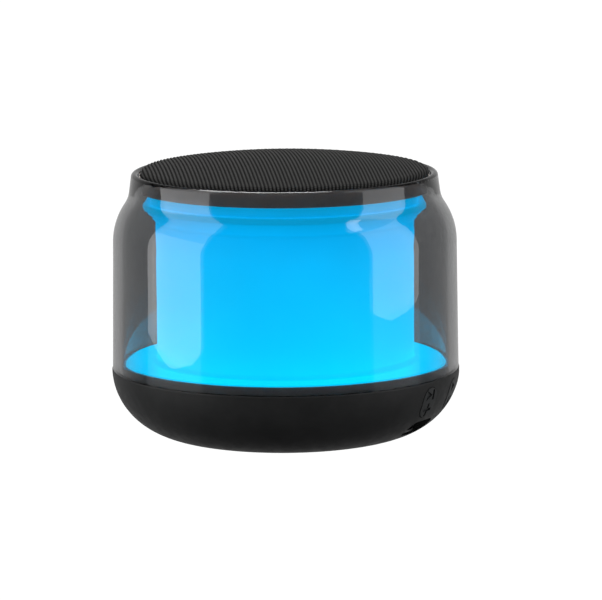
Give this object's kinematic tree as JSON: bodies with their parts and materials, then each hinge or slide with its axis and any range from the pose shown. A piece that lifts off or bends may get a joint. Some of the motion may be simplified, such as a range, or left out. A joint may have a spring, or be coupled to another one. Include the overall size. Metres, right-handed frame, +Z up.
{
  "type": "portable bluetooth speaker",
  "caption": "Round jar-shaped portable Bluetooth speaker with a smoked clear shell, a lit blue column, a cloth grille on top and soft keys on its bowl-shaped base.",
  "frame": {"origin": "centre of the foot ring's underside", "axes": "+Z up through the axis of the body; +X towards the right side, where the keys are; -Y is the front"},
  "size_m": [0.0803, 0.0802, 0.065],
  "materials": {
    "base_plastic": "fine matte moulded black ABS",
    "foot_rubber": "matte silicone",
    "screw_steel": "zinc-plated cross-head screws",
    "smoked_clear": "smoked clear polycarbonate, polished",
    "lit_opal": "opal polycarbonate, lit blue from inside",
    "deck_plastic": "moulded grey ABS",
    "frame_plastic": "moulded black ABS",
    "board_white": "white solder mask",
    "led_lens": "LED package",
    "foam_black": "closed-cell foam",
    "battery_wrap": "laminated pouch film",
    "board_green": "green solder mask",
    "chip_black": "moulded epoxy package",
    "can_aluminium": "drawn aluminium can",
    "connector_white": "nylon housing",
    "pipe_clear": "clear acrylic light pipe",
    "port_steel": "stamped stainless receptacle",
    "neck_plastic": "moulded light grey ABS",
    "grille_weave": "woven polyester grille cloth",
    "basket_steel": "black painted stamped steel",
    "plate_steel": "zinc-plated steel",
    "ferrite": "ground ferrite",
    "coil_film": "polyimide film",
    "coil_copper": "enamelled copper wire",
    "cone_paper": "pressed paper pulp",
    "soft_rubber": "butyl rubber",
    "spider_cloth": "resin-stiffened cotton",
    "terminal_brown": "phenolic board",
    "lug_brass": "tinned brass",
    "lead_red": "silicone insulation",
    "lead_black": "silicone insulation",
    "key_rubber": "matte silicone, engraved icons"
  },
  "bodies": {
    "body": {"amplifier_chip": "chip_black", "base_shell": "base_plastic", "battery_cell": "battery_wrap", "battery_connector": "connector_white", "battery_foam": "foam_black", "battery_lead_black": "lead_black", "battery_lead_red": "lead_red", "board_leds": "led_lens", "board_screws": "screw_steel", "can_capacitors": "can_aluminium", "chassis_deck": "deck_plastic", "driver_basket": "basket_steel", "driver_gasket": "foam_black", "driver_magnet": "ferrite", "driver_screws": "screw_steel", "driver_spider": "spider_cloth", "driver_surround": "soft_rubber", "driver_top_plate": "plate_steel", "driver_yoke": "plate_steel", "foot_ring": "foot_rubber", "grille_cloth": "grille_weave", "grille_frame": "frame_plastic", "light_board": "board_white", "light_board_screws": "screw_steel", "light_connector": "connector_white", "light_diffuser": "lit_opal", "light_lead": "lead_black", "light_pipe": "pipe_clear", "main_board": "board_green", "microphone": "can_aluminium", "neck_ring": "neck_plastic", "outer_shell": "smoked_clear", "power_inductor": "chip_black", "radio_chip": "chip_black", "solder_lugs": "lug_brass", "speaker_connector": "connector_white", "speaker_lead_black": "lead_black", "speaker_lead_red": "lead_red", "status_led": "led_lens", "switch_back": "chip_black", "switch_next": "chip_black", "switch_play": "chip_black", "switch_power": "chip_black", "terminal_board": "terminal_brown", "tie_screws": "screw_steel", "usb_c_port": "port_steel"},
    "diaphragm": {"driver_cone": "cone_paper", "dust_cap": "cone_paper", "voice_coil_former": "coil_film", "voice_coil_winding": "coil_copper"},
    "button_next": {"key_next": "key_rubber", "plunger_next": "connector_white"},
    "button_play": {"key_play": "key_rubber", "plunger_play": "connector_white"},
    "button_back": {"key_back": "key_rubber", "plunger_back": "connector_white"},
    "button_power": {"key_power": "key_rubber", "plunger_power": "connector_white"}
  },
  "joints": [
    {"name": "diaphragm_stroke", "type": "slide", "parent": "body", "child": "diaphragm", "axis": [0, 0, 1], "range_m": [-0.0015, 0.0015], "stiffness_N_per_m": 2400, "deforming": ["driver_surround", "driver_spider"]},
    {"name": "next_press", "type": "slide", "parent": "body", "child": "button_next", "axis": [-0.8241, 0.5664, 0], "range_m": [0, 0.00035], "stiffness_N_per_m": 4000},
    {"name": "play_press", "type": "slide", "parent": "body", "child": "button_play", "axis": [-0.9588, 0.284, 0], "range_m": [0, 0.00035], "stiffness_N_per_m": 4000},
    {"name": "back_press", "type": "slide", "parent": "body", "child": "button_back", "axis": [-0.9997, -0.0262, 0], "range_m": [0, 0.00035], "stiffness_N_per_m": 4000},
    {"name": "power_press", "type": "slide", "parent": "body", "child": "button_power", "axis": [-0.9426, -0.3338, 0], "range_m": [0, 0.00035], "stiffness_N_per_m": 4000}
  ]
}
